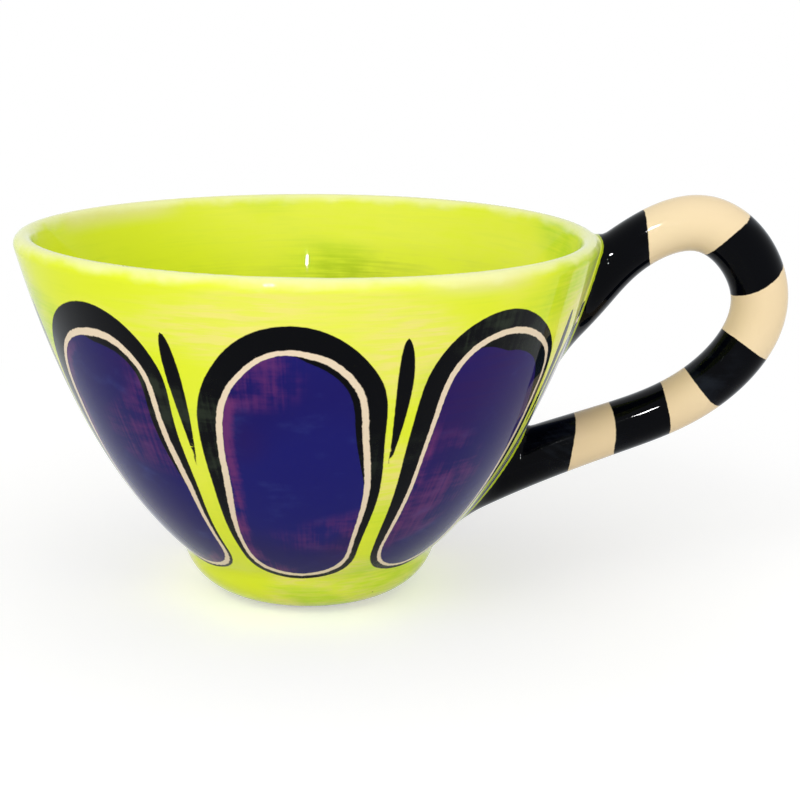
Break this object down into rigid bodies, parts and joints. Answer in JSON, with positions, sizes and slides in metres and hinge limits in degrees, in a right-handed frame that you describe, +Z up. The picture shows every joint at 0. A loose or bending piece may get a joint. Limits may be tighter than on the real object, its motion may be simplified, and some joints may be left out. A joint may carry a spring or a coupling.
{
  "type": "ceramic cup",
  "caption": "Wide flared cup on a low rounded foot, with a rolled-clay handle that loops up above the rim; holds hot drinks.",
  "frame": {"origin": "centre of the foot's underside, on the surface that the cup stands on", "axes": "+Z up along the bowl's axis, +X from the bowl's axis through the middle of the handle"},
  "size_m": [0.1667, 0.125, 0.0884],
  "materials": {
    "glaze": "gloss, hand-painted under a clear glaze"
  },
  "bodies": {
    "root": {"cup": "glaze"}
  },
  "joints": []
}
